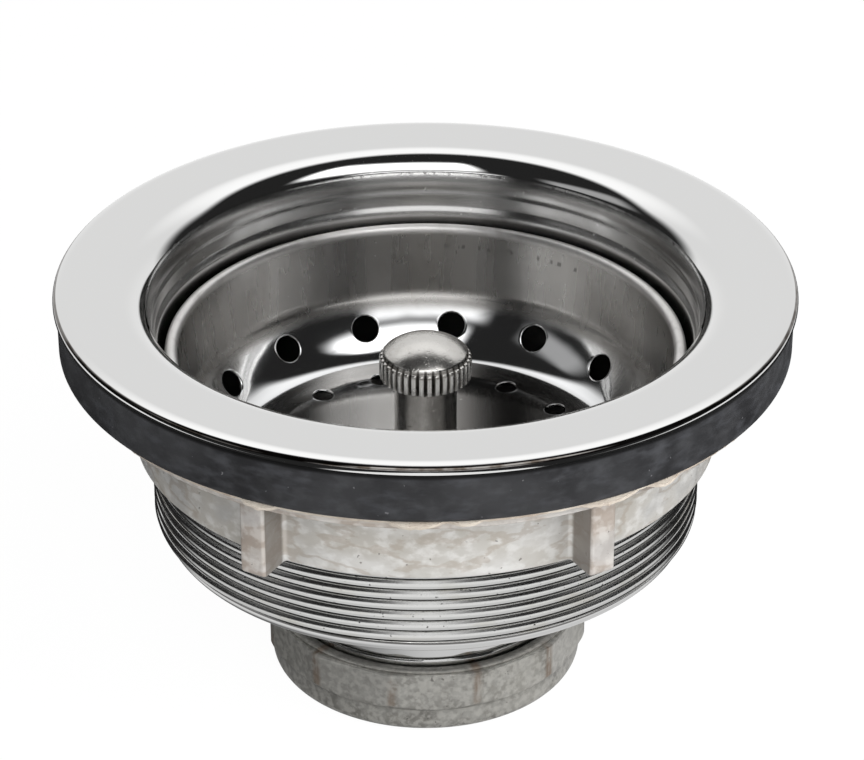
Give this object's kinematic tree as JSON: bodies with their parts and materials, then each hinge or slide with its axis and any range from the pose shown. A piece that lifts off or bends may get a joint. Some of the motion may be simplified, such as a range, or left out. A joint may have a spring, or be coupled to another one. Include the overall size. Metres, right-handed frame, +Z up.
{
  "type": "basket strainer waste",
  "caption": "Kitchen sink basket strainer waste: polished flanged body with a screw thread, rubber gasket, lugged locknut, outlet coupling nut and a lift-out perforated basket with a knob.",
  "frame": {"origin": "centre of the flange's seat, the plane where its turned-down edge meets the sink", "axes": "+Z up out of the sink along the axis of the waste, +X to the right seen from the picture's side"},
  "size_m": [0.1142, 0.1142, 0.0681],
  "materials": {
    "polished_stainless": "drawn stainless sheet, mirror polished on the flange and mouth, satin on the inner wall",
    "basket_stainless": "pressed stainless sheet, satin wall and polished bowl",
    "plain_stainless": "stamped steel, plain",
    "plated_knob": "nickel plated casting, slightly pitted",
    "raw_zinc": "raw die-cast zinc, pale and stained",
    "dull_zinc": "raw die-cast zinc, dull grey",
    "black_rubber": "matt moulded rubber with scuffs",
    "tan_fibre": "pressed fibre, frayed at the edge",
    "white_washer": "moulded polyethylene"
  },
  "bodies": {
    "body": {"strainer_body": "polished_stainless", "post_crossbar": "plain_stainless"},
    "clamp_rings": {"rubber_gasket": "black_rubber", "friction_washer": "tan_fibre"},
    "locknut": {"locknut": "raw_zinc"},
    "tail_ring": {"tailpiece_washer": "white_washer"},
    "coupling_nut": {"coupling_nut": "dull_zinc"},
    "basket": {"basket_bowl": "basket_stainless", "knob_post": "plated_knob", "spacer_sleeve": "plain_stainless", "seal_plate": "plain_stainless", "stopper_seal": "black_rubber", "seal_washer": "plain_stainless", "post_nut": "plain_stainless", "post_clip": "plain_stainless"}
  },
  "joints": [
    {"name": "basket_lift", "type": "slide", "parent": "body", "child": "basket", "axis": [0, 0, 1], "range_m": [0, 0.075]},
    {"name": "locknut_travel", "type": "slide", "parent": "body", "child": "clamp_rings", "axis": [0, 0, -1], "range_m": [0, 0.0109]},
    {"name": "locknut_turn", "type": "hinge", "parent": "clamp_rings", "child": "locknut", "pos_m": [0, 0, -0.0167], "axis": [0, 0, -1], "range_deg": [0, 2160]},
    {"name": "coupling_travel", "type": "slide", "parent": "body", "child": "tail_ring", "axis": [0, 0, -1], "range_m": [0, 0.00665]},
    {"name": "coupling_turn", "type": "hinge", "parent": "tail_ring", "child": "coupling_nut", "pos_m": [0, 0, -0.0603], "axis": [0, 0, -1], "range_deg": [0, 1080]}
  ],
  "couplings": [
    {"joint": "locknut_travel", "follows": "locknut_turn", "m_per_rad": 0.00028871},
    {"joint": "coupling_travel", "follows": "coupling_turn", "m_per_rad": 0.00035157}
  ]
}
